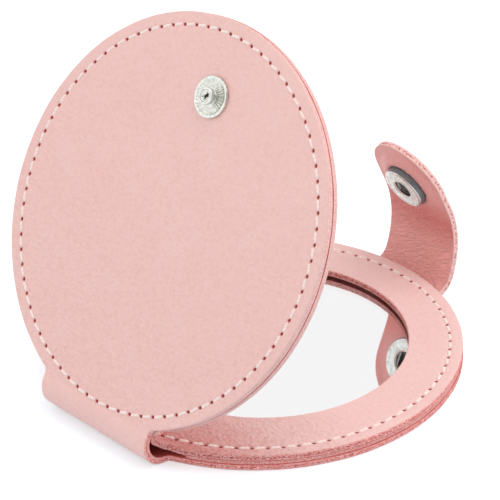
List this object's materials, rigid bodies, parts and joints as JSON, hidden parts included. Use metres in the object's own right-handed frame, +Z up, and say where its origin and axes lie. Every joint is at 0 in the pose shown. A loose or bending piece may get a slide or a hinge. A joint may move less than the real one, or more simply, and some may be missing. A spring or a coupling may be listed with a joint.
{
  "type": "compact mirror",
  "caption": "Round leather compact mirror: a stitched base holds the glass, a lid folds over it on a leather hinge, and a strap wraps round the rim and closes with a press snap.",
  "frame": {"origin": "centre of the base's underside, on the surface that the compact stands on", "axes": "+X along the fold, +Y towards the fold, -Y towards the strap, +Z up out of the mirror"},
  "size_m": [0.08, 0.0889, 0.0757],
  "materials": {
    "leather_outer": "fine smooth grain, satin",
    "leather_inner": "fine smooth grain, satin",
    "thread": "waxed twisted thread",
    "glue_tape": "double-sided tape",
    "silvering": "silvered back of the glass",
    "mirror_glass": "clear float glass",
    "snap_metal": "satin nickel plating",
    "spring_metal": "bare spring wire"
  },
  "bodies": {
    "base": {"base_cover": "leather_outer", "mirror_tape": "glue_tape", "mirror_silvering": "silvering", "mirror_glass": "mirror_glass", "spacer_ring": "leather_inner", "mirror_frame": "leather_outer", "base_stitching": "thread", "hinge_outer": "leather_outer", "hinge_lining": "leather_inner", "strap_root": "leather_outer"},
    "lid": {"lid_cover": "leather_outer", "lid_lining": "leather_inner", "lid_stitching": "thread", "snap_stud": "snap_metal", "stud_post": "snap_metal"},
    "strap_lower": {"strap_link": "leather_outer", "strap_bend": "leather_outer"},
    "strap_end": {"strap_tab": "leather_outer", "snap_socket": "snap_metal", "socket_spring": "spring_metal", "snap_cap": "snap_metal"}
  },
  "joints": [
    {"name": "lid_fold", "type": "hinge", "parent": "base", "child": "lid", "pos_m": [0, 0.0414, 0.0038], "axis": [1, 0, 0], "range_deg": [-60, 60], "deforming": ["hinge_outer", "hinge_lining"]},
    {"name": "strap_root_bend", "type": "hinge", "parent": "base", "child": "strap_lower", "pos_m": [0, -0.04096, 0.00079], "axis": [-1, 0, 0], "range_deg": [-45, 12.57], "stiffness_Nm_per_rad": 0.01, "deforming": ["strap_root"]},
    {"name": "strap_fold", "type": "hinge", "parent": "strap_lower", "child": "strap_end", "pos_m": [0, -0.04417, 0.00425], "axis": [-1, 0, 0], "range_deg": [0, 53.43], "stiffness_Nm_per_rad": 0.01, "deforming": ["strap_bend"]}
  ]
}
